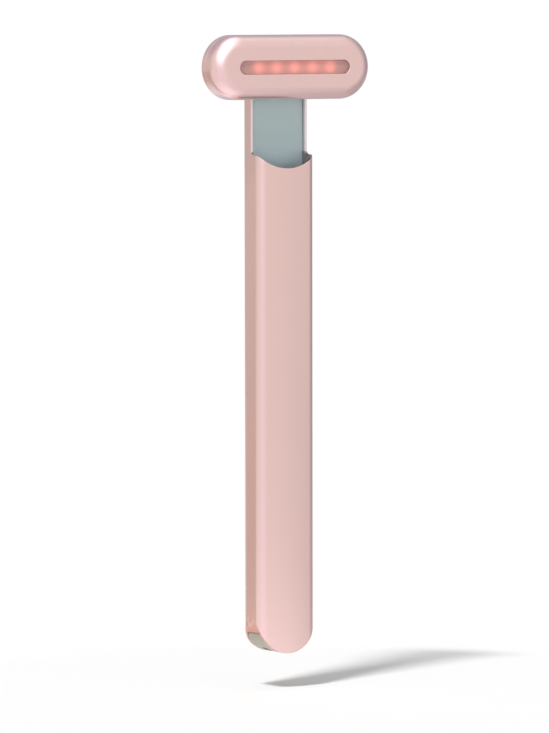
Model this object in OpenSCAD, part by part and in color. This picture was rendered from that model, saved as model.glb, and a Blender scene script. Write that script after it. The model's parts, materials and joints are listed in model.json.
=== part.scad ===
// Heated eye massager wand: a T-shaped light and massage head that swivels on a slim handle.
// Millimetres. +Z runs up the handle and -Y is the front, where the light strip faces.
// The origin is under the middle of the wand, at the lowest point of the handle.

/* [Handle] */
// Width of the handle
handle_w = 17; // [16:0.2:22]
// Depth of the handle, front to back
handle_d = 9.4; // [9:0.2:13]
// Wall of the handle tube
wall = 1.2; // [0.9:0.1:1.5]
// Radius of the tube's long edges at the front
front_r = 2.3; // [1.8:0.1:3.5]
// Radius of the tube's long edges at the back
back_r = 2.7; // [2:0.1:3.8]
// Height of the grip, from the foot to the lowest point of the curved mouth
grip_l = 124.4; // [117:0.2:160]
// Depth from the front face to the flat that the neck is cut back to
neck_cut = 4.4; // [4:0.1:4.7]
// How far the handle reaches above the pivot
neck_over = 7.2; // [6:0.1:7.5]
// Corner radius of the handle's top end
top_r = 5; // [3:0.5:6]
// Wall left round the neck plate, above the tube's inner shoulder
neck_rim = 0.65; // [0.5:0.05:0.9]

/* [Head] */
// Length of the head
head_l = 47.4; // [44:0.2:56]
// Height of the head
head_h = 16.5; // [15.6:0.2:20]
// How far the head stands out in front of the handle
head_out = 3.4; // [3:0.1:5]
// Gap between the folded head's end and the lowest point of the mouth
fold_gap = 2.1; // [1.6:0.1:4]
// Gap between the swinging head's end and the mouth's two horns
horn_gap = 0.4; // [0.3:0.1:0.8]
// Radius of the head's front edge
head_front_r = 3.5; // [2.5:0.1:4.2]
// Radius of the head's back edge
head_back_r = 0.5; // [0.3:0.1:1.5]
// Wall of the head's shells
head_wall = 1.2; // [1:0.1:1.5]
// Length of the lip that joins the two head shells
lip_l = 1.3; // [1:0.1:1.6]

/* [Light strip] */
// Length of the light slot
slot_l = 33.2; // [28:0.2:34]
// Width of the light slot
slot_w = 3.5; // [2.9:0.1:4.2]
// Bevel round the slot's edge
slot_bevel = 0.3; // [0.1:0.1:0.5]
// How deep the window lies in the slot
window_recess = 0.4; // [0.2:0.1:0.6]
// Number of lights
led_count = 5; // [3:1:5]
// Distance between lights
led_pitch = 5.4; // [4:0.1:6]

/* [Pivot] */
// Outer diameter of the hollow spindle
spindle_d = 6; // [5:0.1:6.4]
// Wall of the spindle round the bore that the wires pass through
spindle_wall = 1; // [0.8:0.1:1.2]
// Gap between the head's back and the neck's flat
pivot_gap = 0.3; // [0.2:0.05:0.5]
// Depth of the inner plate behind the neck's flat
plate_sink = 1.0; // [0.8:0.1:1.2]
// Thickness of the inner plate
plate_t = 1.0; // [0.8:0.1:1.2]
// Swivel each way from the T position, in degrees
swivel = 90; // [45:5:90]

/* [Button] */
// Diameter of the power button
button_d = 6; // [5:0.2:7.2]
// Travel of the button
button_travel = 0.3; // [0.2:0.05:0.35]
// Height of the button above the lower end of the main board
button_up = 20; // [14:1:26]

/* [Battery and boards] */
// Battery length
battery_l = 40; // [30:1:47]
// Battery width
battery_w = 11; // [9:0.5:12]
// Battery thickness
battery_t = 4.6; // [4:0.2:5]
// Length of the main board
board_l = 36; // [32:1:42]
// Thickness of the circuit boards
board_t = 0.8; // [0.6:0.1:1]

/* [Motor] */
// Diameter of the vibration motor
motor_d = 4; // [3.6:0.1:4.4]
// Length of the motor's can
motor_l = 8; // [6:0.5:10]
// Length of the eccentric weight
weight_l = 3; // [2:0.5:4]

/* [Charging end] */
// Length of the end plug
plug_l = 14; // [12.5:0.5:18]
// Wall left round the plug's rim at the open end of the tube
rim = 0.65; // [0.5:0.05:0.8]
// Width of the charging socket's shell
socket_w = 8.94; // [8.9:0.01:9]
// Height of the charging socket's shell
socket_t = 3.2; // [3.1:0.05:3.3]
// Length of the charging socket's shell
socket_l = 7.3; // [6.5:0.1:8]
// Diameter of the charge light on the left side
pipe_d = 1.2; // [0.8:0.1:1.6]

/* [Fits] */
// Gap round a piece that slides into another when it is put together
fit = 0.1; // [0.05:0.05:0.15]
// Gap round a round piece that sits tight in a bore
seat = 0.02; // [0.01:0.01:0.05]
// Gap round a piece that turns in a bore
running = 0.05; // [0.03:0.01:0.1]
// Gap round the button and over moving faces
clear = 0.2; // [0.15:0.05:0.3]

/* [Hidden] */
$fn = 72;
EPS = 0.01;          // overshoot of a cut past the face it opens
CUT = 1;             // overshoot of a cut through free space

// Depth planes, front to back
head_front_y = -(head_out + handle_d) / 2;
handle_front_y = head_front_y + head_out;
handle_back_y = handle_front_y + handle_d;
neck_y = handle_front_y + neck_cut;
head_back_y = neck_y - pivot_gap;
plate_y = neck_y + plate_sink;
plate_back_y = plate_y + plate_t;
cavity_front_y = handle_front_y + wall;
cavity_back_y = handle_back_y - wall;
cavity_w = handle_w - 2 * wall;
foot_r = handle_w / 2;

// Pivot and mouth: the head folds down in line, its end just above the mouth's lowest point, and the
// mouth's horns stay outside the circle that the head's ends sweep
pivot_z = grip_l + fold_gap + head_l / 2;
handle_top = pivot_z + neck_over;
horn_z = pivot_z - sqrt(pow(head_l / 2 + horn_gap, 2) - pow(foot_r, 2));
mouth_rise = horn_z - grip_l;
mouth_r = (pow(foot_r, 2) + pow(mouth_rise, 2)) / (2 * mouth_rise);

// Inner carrier
sheet_t = 0.9;
rail_t = 0.8;
rail_gap = 1.1;      // open space in front of the side rails
carrier_back_y = cavity_back_y - fit;
sheet_y = carrier_back_y - sheet_t;
channel_w = cavity_w - 2 * fit - 2 * rail_t;
step_z = grip_l - 5;             // where the tray ends and the neck plate starts
step_t = 1.2;
cap_t = 2;
plate_tail = 3;                  // how far the neck plate reaches below the step
shoulder_z = step_z + step_t;    // above it the tube's wall is neck_rim, so the plate is wider
neck_back_y = handle_back_y - neck_rim;

// Stack up the handle
stack_gap = 2;
battery_z = plug_l + stack_gap;
board_z = battery_z + battery_l + stack_gap;
board_top = board_z + board_l;
flex_t = 0.2;
board_w = channel_w - 2 * flex_t;
pad_t = 0.4;
pad_in = 1;                      // margin of the foam pad inside the battery's face
tab_w = 2;
tab_x = 3;
tab_lap = 1.5;                   // how far a lead laps onto the main board
battery_back_y = sheet_y - pad_t;
post_h = 2.2;                    // posts that lift the main board off the sheet
board_back_y = sheet_y - post_h;
board_front_y = board_back_y - board_t;
button_z = board_z + button_up;
chip_t = 0.9;
charge_chip_up = 8.5;

// Screws of both boards
screw_d = 1.4;
screw_head_d = 2.4;
screw_head_t = 0.6;
screw_shank_d = 1;
screw_hole_d = screw_shank_d + 0.2;
screw_bite = 1.8;                // depth of the hole in a post
screw_tip_gap = 0.3;             // left free under a screw's tip
post_d = 3.2;
board_screw_in = 3;              // distance of a screw from the main board's end

// Button and switch
button_flange_d = button_d + 1.6;
button_flange_t = 0.4;
button_hole_d = button_d + 2 * clear;
button_well_d = button_flange_d + 1;
switch_w = 4.6;
switch_h = 1.2;
plunger_d = 2.2;
plunger_y = board_back_y + 0.4;  // inner end of the plunger at rest
stem_y = board_back_y + switch_h + button_travel + running;
button_sink = 0.1;               // how far the button lies below the handle's back

// Motor
boot_t = 0.7;
boot_l = motor_l - 1.5;
motor_z = board_top + stack_gap;
motor_y = sheet_y - boot_t - motor_d / 2;
shaft_d = 0.8;
shaft_in = 1.2;                  // where the shaft starts inside the can
weight_gap = 0.5;
weight_r = motor_d / 2 - 0.1;

// Charging end
port_y = sheet_y;                // back face of the port board
port_front_y = port_y - board_t;
socket_y = port_front_y - socket_t / 2;
socket_z = 1.6;                  // mouth of the socket
port_z = socket_z + 2.9;         // lower end of the port board
port_top = plug_l + stack_gap - 0.5;
rim_top = 7;
pipe_y = handle_front_y + 5.3;
pipe_z = handle_w / 2;
flex_w = port_y - board_front_y;
flex_lap = 4;                    // how far the charge cable runs up beside the main board
socket_shell_t = 0.3;
tongue_w = 6.7;
tongue_t = 0.7;
tongue_in = 0.9;                 // how far the tongue lies inside the socket's mouth
pocket_gap = 0.3;                // left free under the port board
led_side = 1.4;
led_side_h = 0.9;

// Head
head_c = (head_l - head_h) / 2;  // centre of each round end
seam_in = 1.3;                   // how far the shells' seam lies in front of the back edge's rounding
split_y = head_back_y - head_back_r - seam_in;
inner_r = 0.1;                   // least radius of the shells' inner corners
back_in_y = head_back_y - head_wall;
lip_t = 0.9;
front_in_y = head_front_y + head_wall;
window_flange_t = 0.5;
window_flange_w = 0.8;
led_h = 0.7;
led_w = 2;
led_board_l = 36;
led_board_h = 8;
led_board_t = 0.6;
led_gap = 0.1;
led_front_y = front_in_y + window_flange_t + led_gap;
led_board_y = led_front_y + led_h;
led_board_back_y = led_board_y + led_board_t;
led_post_x = led_board_l / 2 - 2.6;              // clear of the outer lights
heater_t = 0.15;
heater_l = head_l - 2 * (head_front_r + fit);    // fills the flat of the front shell's inside
heater_h = head_h - 2 * (head_front_r + fit);
thermistor_t = 0.5;
thermistor_w = 1;
thermistor_l = 1.6;

// Pivot stack, front to back
washer_t = 0.35;
boss_end_y = plate_y - washer_t - running;
bush_t = 0.7;
bush_d = spindle_d + 2 * (running + bush_t);
washer_d = spindle_d + 2;
wave_t = 0.3;
wave_d = spindle_d + 3.6;
clip_t = 0.4;
clip_y = plate_back_y + wave_t + running;
groove_depth = 0.4;
clip_d = spindle_d + 2.4;
clip_opening = 3;
spindle_end_y = clip_y + clip_t + clear;
flange_d = spindle_d + 3;
flange_t = 0.6;
stop_d = 0.8;
stop_r = bush_d / 2 + 1;         // radius of the stop pin's path
boss_d = 2 * stop_r + stop_d + 1;
stop_gap = 0.15;
stop_reach = plate_back_y - clear;
stop_over = asin(stop_gap / stop_r);
wires_d = 2.6;
strip_t = 0.15;                  // flat leads and film cables
strip_w = 2.4;
strip_x = cavity_w / 2 - (back_r - wall) - strip_w - clear;  // film cable's edge, on the flat
strip_back_y = neck_back_y - strip_t;
strip_z = step_z + step_t + 2 * clear;           // where the film cable passes the neck plate

PINK = [0.89, 0.75, 0.71];
TEAL = [0.64, 0.69, 0.69];
PLUG = [0.66, 0.67, 0.60];
LENS = [0.75, 0.58, 0.54];
GLOW = [1.00, 0.45, 0.38];
STEEL = [0.75, 0.76, 0.78];
BRASS = [0.80, 0.66, 0.36];
BOARD = [0.13, 0.36, 0.24];
CHIP = [0.12, 0.12, 0.13];
FOAM = [0.22, 0.22, 0.24];
FILM = [0.78, 0.47, 0.16];
CELL = [0.55, 0.58, 0.62];

// ---------------------------------------------------------------- shapes

// A rectangle with one radius for its two front corners and one for its two back corners
module rounded_rect(x0, x1, y0, y1, rf, rb) {
    translate([x0 + rf, y0]) square([x1 - x0 - 2 * rf, y1 - y0 - rb]);
    translate([x0, y0 + rf]) square([x1 - x0, y1 - y0 - rf - rb]);
    translate([x0 + rb, y0 + rf]) square([x1 - x0 - 2 * rb, y1 - y0 - rf]);
    for (x = [x0 + rf, x1 - rf]) translate([x, y0 + rf]) circle(rf);
    for (x = [x0 + rb, x1 - rb]) translate([x, y1 - rb]) circle(rb);
}

// The tube's cross-section, drawn in by inset on every side
module tube_section(inset) {
    rounded_rect(-handle_w / 2 + inset, handle_w / 2 - inset, handle_front_y + inset,
        handle_back_y - inset, front_r - inset, back_r - inset);
}

// An outline in X and Z, made solid from y0 to y1
module along_y(y0, y1) {
    translate([0, y1, 0]) rotate([90, 0, 0]) linear_extrude(y1 - y0) children();
}

// A profile of radius and depth, turned round the Y axis
module spin_y() {
    rotate([-90, 0, 0]) rotate_extrude() children();
}

// A round bar along Y
module pin_y(d, y0, y1) {
    translate([0, y0, 0]) rotate([-90, 0, 0]) cylinder(d = d, h = y1 - y0);
}

// A ring along Y
module ring_y(d_out, d_in, y0, y1) {
    difference() {
        pin_y(d_out, y0, y1);
        pin_y(d_in, y0 - CUT, y1 + CUT);
    }
}

// A block between two corners
module block(x0, x1, y0, y1, z0, z1) {
    translate([x0, y0, z0]) cube([x1 - x0, y1 - y0, z1 - z0]);
}

// The long shape with two round ends, lying along X
module stadium(l, w) {
    square([l - w, w], center = true);
    for (s = [-1, 1]) translate([s * (l - w) / 2, 0]) circle(d = w);
}

// The handle's outline from the front: a half-round foot and a round-cornered top
module handle_outline() {
    translate([0, foot_r]) circle(foot_r);
    translate([-foot_r, foot_r]) square([handle_w, handle_top - top_r - foot_r]);
    translate([-foot_r + top_r, foot_r]) square([handle_w - 2 * top_r, handle_top - foot_r]);
    for (s = [-1, 1]) translate([s * (foot_r - top_r), handle_top - top_r]) circle(top_r);
}

// Everything inside the handle's two shaped ends
module within_ends() {
    intersection() {
        children();
        along_y(handle_front_y - CUT, handle_back_y + CUT) handle_outline();
    }
}

// Half of the head's cross-section, as radius and depth, drawn in by inset
module head_half_profile(inset) {
    r = head_h / 2 - inset;
    y0 = head_front_y + inset;
    y1 = head_back_y - inset;
    rf = head_front_r - inset;
    rb = max(head_back_r - inset, inner_r);
    translate([0, y0]) square([r - rf, y1 - y0]);
    translate([0, y0 + rf]) square([r, y1 - y0 - rf - rb]);
    translate([0, y0 + rf]) square([r - rb, y1 - y0 - rf]);
    translate([r - rf, y0 + rf]) intersection() {
        circle(rf);
        translate([0, -rf]) square(rf);
    }
    translate([r - rb, y1 - rb]) circle(rb);
}

// The head's rounded bar, drawn in by inset, round the pivot
module head_bar(inset) {
    translate([0, 0, pivot_z]) {
        for (s = [-1, 1]) translate([s * head_c, 0, 0]) spin_y() head_half_profile(inset);
        translate([-head_c, 0, 0]) rotate([90, 0, 90]) linear_extrude(2 * head_c)
            for (m = [0, 1]) mirror([0, m]) mirror([1, -1]) head_half_profile(inset);
    }
}

// Copies at the led board's two screw posts
module at_led_posts() {
    for (s = [-1, 1]) translate([s * led_post_x, 0, pivot_z]) children();
}

// Copies at the main board's two screw posts
module at_board_posts() {
    for (z = [board_z + board_screw_in, board_top - board_screw_in]) translate([0, 0, z]) children();
}

// A pan-head screw along Y, its head at the front, seated on the plane y
module board_screw(y, length) {
    pin_y(screw_head_d, y - screw_head_t, y);
    pin_y(screw_shank_d, y - EPS, y + length);
}

// ---------------------------------------------------------------- handle

module handle_shell() color(PINK) {
    difference() {
        within_ends() linear_extrude(handle_top) tube_section(0);
        translate([0, 0, -CUT]) linear_extrude(handle_top + 2 * CUT) tube_section(wall);
        // wider mouth at the foot, where the plug's rim sits
        translate([0, 0, -CUT]) linear_extrude(rim_top + CUT) tube_section(rim);
        // wider neck, where the inner carrier's plate and cap sit
        translate([0, 0, shoulder_z]) linear_extrude(handle_top) tube_section(neck_rim);
        // front of the neck, cut back above the curved mouth
        along_y(handle_front_y - CUT, neck_y) {
            translate([0, grip_l + mouth_r]) circle(mouth_r);
            translate([-handle_w, grip_l + mouth_r]) square([2 * handle_w, handle_top - grip_l]);
        }
        // button hole and charge light hole
        translate([0, 0, button_z]) pin_y(button_hole_d, cavity_back_y - CUT, handle_back_y + CUT);
        pipe_bore(pipe_d + 2 * seat);
    }
}

module pipe_bore(d) {
    translate([-handle_w / 2 - CUT, pipe_y, pipe_z]) rotate([0, 90, 0])
        cylinder(d = d, h = (handle_w - channel_w) / 2 + 2 * CUT);
}

module inner_carrier() color(TEAL) {
    difference() {
        within_ends() intersection() {
            union() {
                linear_extrude(handle_top) tube_section(wall + fit);
                translate([0, 0, shoulder_z + fit]) linear_extrude(handle_top)
                    tube_section(neck_rim + fit);
            }
            union() {
                // tray: back sheet and two side rails
                block(-handle_w, handle_w, sheet_y, handle_back_y, plug_l, step_z + step_t);
                for (s = [0, 1]) mirror([s, 0, 0])
                    block(channel_w / 2, handle_w, cavity_front_y + rail_gap, handle_back_y,
                        plug_l, step_z);
                // step, neck plate and top cap
                block(-handle_w, handle_w, plate_y, handle_back_y, step_z, step_z + step_t);
                block(-handle_w, handle_w, plate_y, plate_back_y, step_z - plate_tail, handle_top);
                block(-handle_w, handle_w, plate_y, handle_back_y, handle_top - cap_t, handle_top);
                at_board_posts() pin_y(post_d, board_back_y, sheet_y + EPS);
            }
        }
        translate([0, 0, pivot_z]) {
            pin_y(bush_d + 2 * seat, plate_y - CUT, plate_back_y + CUT);
            stop_slot();
        }
        translate([0, 0, button_z]) pin_y(button_well_d, sheet_y - CUT, handle_back_y);
        at_board_posts() pin_y(screw_hole_d, board_back_y - CUT, board_back_y + screw_bite);
        // window that the film cable passes through, from the neck to the tray
        block(strip_x - clear, strip_x + strip_w + clear, plate_y - CUT, plate_back_y + CUT,
            strip_z - clear, strip_z + strip_t + clear);
    }
}

// Curved slot in the neck plate; the head's stop pin runs in it
module stop_slot() {
    w = stop_d + 2 * stop_gap;
    arc = 2 * (swivel + stop_over);
    translate([0, plate_y - CUT, 0]) rotate([-90, 0, 0]) {
        rotate([0, 0, -90 - arc / 2]) rotate_extrude(angle = arc)
            translate([stop_r - w / 2, 0]) square([w, plate_t + 2 * CUT]);
        for (a = [-arc / 2, arc / 2]) rotate([0, 0, a - 90]) translate([stop_r, 0, 0])
            cylinder(d = w, h = plate_t + 2 * CUT);
    }
}

module end_plug() color(PLUG) {
    difference() {
        within_ends() union() {
            linear_extrude(plug_l) tube_section(wall + fit);
            linear_extrude(rim_top - fit) tube_section(rim + fit);
        }
        // pocket for the socket and its board, open at the top
        block(-channel_w / 2, channel_w / 2, socket_y - socket_t / 2 - fit, port_y,
            port_z - pocket_gap, plug_l + CUT);
        // mouth for the charging plug
        translate([0, socket_y, -CUT]) linear_extrude(port_z + CUT)
            stadium(socket_w + 2 * fit, socket_t + 2 * fit);
        pipe_bore(pipe_d + 2 * seat);
    }
}

module charge_socket() color(STEEL) {
    t = 2 * socket_shell_t;
    translate([0, socket_y, socket_z]) difference() {
        linear_extrude(socket_l) stadium(socket_w, socket_t);
        translate([0, 0, -CUT]) linear_extrude(socket_l - socket_shell_t + CUT)
            stadium(socket_w - t, socket_t - t);
    }
}

module socket_tongue() color(CHIP)
    block(-tongue_w / 2, tongue_w / 2, socket_y - tongue_t / 2, socket_y + tongue_t / 2,
        socket_z + tongue_in, socket_z + socket_l - socket_shell_t);

module port_board() color(BOARD)
    block(-board_w / 2, board_w / 2, port_front_y, port_y, port_z, port_top);

// Film cable along the right rail, from the port board to the main board
module charge_flex() color(FILM)
    block(board_w / 2, board_w / 2 + flex_t, port_y - flex_w, port_y, port_z, board_z + flex_lap);

module indicator_led() color([0.95, 0.93, 0.88])
    block(-board_w / 2 + fit, -board_w / 2 + fit + led_side, port_front_y - led_side_h, port_front_y,
        pipe_z - led_side / 2, pipe_z + led_side / 2);

module indicator_pipe() color([1, 0.86, 0.76])
    translate([-handle_w / 2, pipe_y, pipe_z]) rotate([0, 90, 0])
        cylinder(d = pipe_d, h = (handle_w - board_w) / 2);

module battery() color(CELL)
    block(-battery_w / 2, battery_w / 2, battery_back_y - battery_t, battery_back_y, battery_z,
        battery_z + battery_l);

module battery_pad() color(FOAM)
    block(-battery_w / 2 + pad_in, battery_w / 2 - pad_in, battery_back_y, sheet_y,
        battery_z + pad_in, battery_z + battery_l - pad_in);

// Two flat nickel tabs from the battery to the front of the main board
module battery_tabs() color(STEEL)
    for (s = [-1, 1]) translate([s * tab_x, 0, 0])
        block(-tab_w / 2, tab_w / 2, board_front_y - strip_t, board_front_y, battery_z + battery_l,
            board_z + tab_lap);

module main_board() color(BOARD) {
    difference() {
        block(-board_w / 2, board_w / 2, board_front_y, board_back_y, board_z, board_top);
        at_board_posts() pin_y(screw_d, board_front_y - CUT, board_back_y + CUT);
    }
}

// A square chip of the given side on the front of the main board, its middle at height z
module board_chip(side, z) {
    block(-side / 2, side / 2, board_front_y - chip_t, board_front_y, z - side / 2, z + side / 2);
}

module control_chip() color(CHIP) board_chip(5, button_z);

module charge_chip() color(CHIP) board_chip(3, board_z + charge_chip_up);

module board_screws() color(STEEL)
    at_board_posts() board_screw(board_front_y, board_t + screw_bite - screw_tip_gap);

module switch_body() color(CHIP) {
    translate([0, 0, button_z]) difference() {
        block(-switch_w / 2, switch_w / 2, board_back_y, board_back_y + switch_h, -switch_w / 2,
            switch_w / 2);
        pin_y(plunger_d + 2 * running, plunger_y - button_travel - running,
            board_back_y + switch_h + CUT);
    }
}

module motor_can() color(STEEL) {
    translate([0, motor_y, motor_z]) difference() {
        cylinder(d = motor_d, h = motor_l);
        translate([0, 0, shaft_in - clear]) cylinder(d = shaft_d + 2 * running, h = motor_l);
    }
}

// Rubber block round the motor, seated on the carrier's sheet
module motor_boot() color(FOAM) {
    difference() {
        block(-motor_d / 2 - boot_t, motor_d / 2 + boot_t, motor_y - motor_d / 2 - boot_t, sheet_y,
            motor_z, motor_z + boot_l);
        translate([0, motor_y, motor_z - CUT]) cylinder(d = motor_d + 2 * seat, h = boot_l + 2 * CUT);
    }
}

// Two flat leads from the front of the main board to the end of the motor
module motor_tabs() color(STEEL)
    for (s = [-1, 1]) translate([s * shaft_d, 0, 0])
        block(-shaft_d / 2, shaft_d / 2, board_front_y - strip_t, board_front_y, board_top - tab_lap,
            motor_z);

// Film cable from behind the spindle, down the neck, through the plate to the main board
module handle_flex() color(FILM) {
    block(-strip_w / 2, strip_x + strip_w, strip_back_y, neck_back_y, pivot_z - strip_w / 2,
        pivot_z + strip_w / 2);
    block(strip_x, strip_x + strip_w, strip_back_y, neck_back_y, strip_z, pivot_z + strip_w / 2);
    block(strip_x, strip_x + strip_w, board_back_y, neck_back_y, strip_z, strip_z + strip_t);
    block(strip_x, strip_x + strip_w, board_back_y, board_back_y + strip_t, board_top - tab_lap,
        strip_z + strip_t);
}

module pivot_bush() color(BRASS)
    translate([0, 0, pivot_z]) ring_y(bush_d, spindle_d + 2 * running, plate_y, plate_back_y);

module friction_washer() color([0.93, 0.93, 0.90])
    translate([0, 0, pivot_z])
        ring_y(washer_d, spindle_d + 4 * running, plate_y - washer_t, plate_y);

module wave_washer() color(STEEL)
    translate([0, 0, pivot_z])
        ring_y(wave_d, spindle_d + 4 * running, plate_back_y, plate_back_y + wave_t);

// ---------------------------------------------------------------- button

module power_button() color(PINK) {
    translate([0, 0, button_z]) {
        pin_y(button_d, cavity_back_y - clear - EPS, handle_back_y - button_sink);
        pin_y(button_flange_d, cavity_back_y - clear - button_flange_t, cavity_back_y - clear);
        pin_y(plunger_d, stem_y, cavity_back_y - clear - button_flange_t + EPS);
    }
}

module switch_plunger() color([0.85, 0.30, 0.25])
    translate([0, 0, button_z]) pin_y(plunger_d, plunger_y, stem_y);

// ---------------------------------------------------------------- motor's moving part

module motor_shaft() color(STEEL)
    translate([0, motor_y, motor_z + shaft_in]) cylinder(d = shaft_d,
        h = motor_l - shaft_in + weight_gap + weight_l);

module eccentric_weight() color([0.60, 0.58, 0.52]) {
    translate([0, motor_y, motor_z + motor_l + weight_gap]) difference() {
        union() {
            intersection() {
                cylinder(r = weight_r, h = weight_l);
                block(-weight_r, weight_r, 0, weight_r + EPS, 0, weight_l);
            }
            cylinder(d = shaft_d + 1, h = weight_l);
        }
        translate([0, 0, -CUT]) cylinder(d = shaft_d + 2 * seat, h = weight_l + 2 * CUT);
    }
}

// ---------------------------------------------------------------- head

module head_front_shell() color(PINK) {
    difference() {
        intersection() {
            head_bar(0);
            block(-head_l, head_l, head_front_y - CUT, split_y, pivot_z - head_h, pivot_z + head_h);
        }
        head_bar(head_wall);
        translate([0, 0, pivot_z]) {
            along_y(head_front_y - CUT, front_in_y + CUT) stadium(slot_l, slot_w);
            slot_edge();
        }
    }
}

// Bevel round the slot: a cone at each end and a sloped trough between them
module slot_edge() {
    b = slot_bevel + EPS;
    y = head_front_y + slot_bevel;
    for (s = [-1, 1]) translate([s * (slot_l - slot_w) / 2, 0, 0]) spin_y()
        polygon([[0, y], [slot_w / 2, y], [slot_w / 2 + b, y - b], [0, y - b]]);
    translate([-(slot_l - slot_w) / 2, 0, 0]) rotate([90, 0, 90]) linear_extrude(slot_l - slot_w)
        polygon([[y, -slot_w / 2], [y - b, -slot_w / 2 - b], [y - b, slot_w / 2 + b],
            [y, slot_w / 2]]);
}

module head_back_shell() color(PINK) {
    difference() {
        union() {
            intersection() {
                head_bar(0);
                block(-head_l, head_l, split_y, head_back_y + CUT, pivot_z - head_h,
                    pivot_z + head_h);
            }
            // lip inside the front shell
            translate([0, 0, pivot_z]) along_y(split_y - lip_l, split_y + EPS)
                stadium(head_l - 2 * (head_wall + fit), head_h - 2 * (head_wall + fit));
            translate([0, 0, pivot_z]) pin_y(boss_d, head_back_y - EPS, boss_end_y);
        }
        translate([0, 0, pivot_z]) {
            along_y(split_y - lip_l - CUT, back_in_y)
                stadium(head_l - 2 * (head_wall + fit + lip_t), head_h - 2 * (head_wall + fit + lip_t));
            pin_y(spindle_d + 2 * seat, back_in_y - CUT, boss_end_y + CUT);
        }
    }
    at_led_posts() difference() {
        pin_y(post_d, led_board_back_y, back_in_y + EPS);
        pin_y(screw_hole_d, led_board_back_y - CUT, led_board_back_y + screw_bite);
    }
    // stop pin, straight up from the pivot in the T position
    translate([0, 0, pivot_z + stop_r]) pin_y(stop_d, boss_end_y - EPS, stop_reach);
}

module light_window() color(LENS) {
    translate([0, 0, pivot_z]) {
        along_y(head_front_y + window_recess, front_in_y + EPS)
            stadium(slot_l - 2 * fit, slot_w - 2 * fit);
        along_y(front_in_y, front_in_y + window_flange_t)
            stadium(slot_l + 2 * window_flange_w, slot_w + 2 * window_flange_w);
    }
}

module led_board() color(BOARD) {
    difference() {
        translate([0, 0, pivot_z]) along_y(led_board_y, led_board_back_y)
            square([led_board_l, led_board_h], center = true);
        at_led_posts() pin_y(screw_d, led_board_y - CUT, led_board_back_y + CUT);
    }
}

module led_chips() color(GLOW)
    for (i = [0 : led_count - 1])
        translate([(i - (led_count - 1) / 2) * led_pitch, 0, pivot_z])
            block(-led_w / 2, led_w / 2, led_front_y, led_board_y, -led_w / 2, led_w / 2);

module heater_film() color(FILM)
    translate([0, 0, pivot_z]) along_y(front_in_y, front_in_y + heater_t) difference() {
        stadium(heater_l, heater_h);
        stadium(slot_l + 2 * (window_flange_w + fit), slot_w + 2 * (window_flange_w + fit));
    }

module thermistor() color(CHIP)
    translate([(slot_l + heater_l) / 4 + (window_flange_w + fit) / 2, 0, pivot_z])
        block(-thermistor_w / 2, thermistor_w / 2, front_in_y + heater_t,
            front_in_y + heater_t + thermistor_t, -thermistor_l / 2, thermistor_l / 2);

module led_board_screws() color(STEEL)
    at_led_posts() board_screw(led_board_y, led_board_t + screw_bite - screw_tip_gap);

module pivot_spindle() color(STEEL) {
    translate([0, 0, pivot_z]) difference() {
        union() {
            pin_y(flange_d, back_in_y - flange_t, back_in_y);
            pin_y(spindle_d, back_in_y - EPS, spindle_end_y);
        }
        pin_y(spindle_d - 2 * spindle_wall, back_in_y - flange_t - CUT, spindle_end_y + CUT);
        ring_y(spindle_d + 2 * CUT, spindle_d - 2 * groove_depth, clip_y - seat,
            clip_y + clip_t + seat);
    }
}

// Open ring snapped into the spindle's groove
module retaining_clip() color(STEEL) {
    translate([0, 0, pivot_z]) difference() {
        ring_y(clip_d, spindle_d - 2 * groove_depth + 2 * seat, clip_y, clip_y + clip_t);
        block(-clip_opening / 2, clip_opening / 2, clip_y - CUT, clip_y + clip_t + CUT, -clip_d, 0);
    }
}

// Round bundle of wires from the led board through the spindle
module head_wires() color([0.20, 0.20, 0.22])
    translate([0, 0, pivot_z]) pin_y(wires_d, led_board_back_y, strip_back_y - running);

handle_shell();
inner_carrier();
end_plug();
charge_socket();
socket_tongue();
port_board();
charge_flex();
indicator_led();
indicator_pipe();
battery();
battery_pad();
battery_tabs();
main_board();
control_chip();
charge_chip();
board_screws();
switch_body();
motor_can();
motor_boot();
motor_tabs();
handle_flex();
pivot_bush();
friction_washer();
wave_washer();
power_button();
switch_plunger();
motor_shaft();
eccentric_weight();
head_front_shell();
head_back_shell();
light_window();
led_board();
led_chips();
heater_film();
thermistor();
led_board_screws();
pivot_spindle();
retaining_clip();
head_wires();
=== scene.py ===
# %% [markdown]
# # A T-shaped heated eye wand
# The wand is a slim metallic pink tube with a swivelling head across its top. The CAD model
# already holds every piece at its real size. This script loads it as a fixed frame, models
# the skins that show again with soft edges, and gives every piece a finish made from nodes.

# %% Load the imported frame
import json
import math

import bmesh
import bpy
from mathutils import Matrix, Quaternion, Vector


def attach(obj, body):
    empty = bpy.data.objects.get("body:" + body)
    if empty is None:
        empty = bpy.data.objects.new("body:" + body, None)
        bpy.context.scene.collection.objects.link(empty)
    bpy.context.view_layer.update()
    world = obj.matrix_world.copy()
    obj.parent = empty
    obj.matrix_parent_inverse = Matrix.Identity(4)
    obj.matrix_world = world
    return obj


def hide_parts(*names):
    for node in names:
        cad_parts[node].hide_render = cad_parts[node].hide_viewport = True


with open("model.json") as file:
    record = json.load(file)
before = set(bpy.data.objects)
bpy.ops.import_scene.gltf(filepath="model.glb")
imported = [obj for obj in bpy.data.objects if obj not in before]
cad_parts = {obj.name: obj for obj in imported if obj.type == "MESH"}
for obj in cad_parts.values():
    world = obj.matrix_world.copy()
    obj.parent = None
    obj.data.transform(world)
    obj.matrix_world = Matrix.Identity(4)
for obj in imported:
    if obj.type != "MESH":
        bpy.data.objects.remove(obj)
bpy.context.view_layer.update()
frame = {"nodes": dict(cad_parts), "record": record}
nodes = frame["nodes"]
scene = bpy.context.scene

# %% [markdown]
# ## Sizes
# The script can't read the CAD source, so the sizes that the skins need are written here
# once, in millimetres, under the same names. `mm` turns them into metres where a mesh is
# made.

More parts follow.
